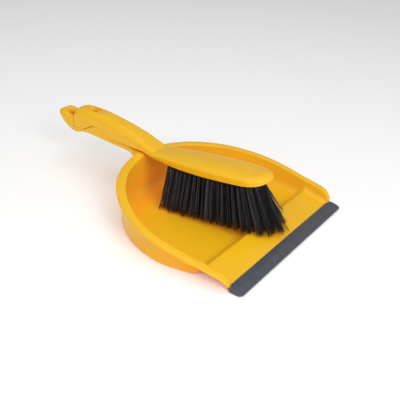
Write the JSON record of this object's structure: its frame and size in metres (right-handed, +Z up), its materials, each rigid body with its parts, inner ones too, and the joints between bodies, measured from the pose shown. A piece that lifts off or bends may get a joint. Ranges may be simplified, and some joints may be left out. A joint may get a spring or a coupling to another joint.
{
  "type": "dustpan and brush",
  "caption": "Hand dustpan with rolled rim, ramped floor and rubber lip, carrying a soft tufted hand brush that nests on the pan's hollow handle and lifts off.",
  "frame": {"origin": "at floor level under the centre of the bounding box, halfway between the handle's tip and the lip", "axes": "+X towards the lip, +Z up, the pan is symmetric about the XZ plane"},
  "size_m": [0.344, 0.2272, 0.0761],
  "materials": {
    "moulding": "satin moulded polypropylene, warm yellow",
    "lip": "matte dark grey extruded rubber",
    "bristle": "black synthetic filament with a soft sheen",
    "anchor_wire": "drawn steel flat wire"
  },
  "bodies": {
    "pan": {"dustpan": "moulding", "lip_strip": "lip"},
    "brush": {"brush_stock": "moulding", "tuft_row_1": "bristle", "tuft_row_2": "bristle", "tuft_row_3": "bristle", "tuft_row_4": "bristle", "tuft_row_5": "bristle", "staple_row_1": "anchor_wire", "staple_row_2": "anchor_wire", "staple_row_3": "anchor_wire", "staple_row_4": "anchor_wire", "staple_row_5": "anchor_wire"}
  },
  "joints": [
    {"name": "brush_lift", "type": "slide", "parent": "pan", "child": "brush", "axis": [0, 0, 1], "range_m": [0, 0.14]}
  ]
}
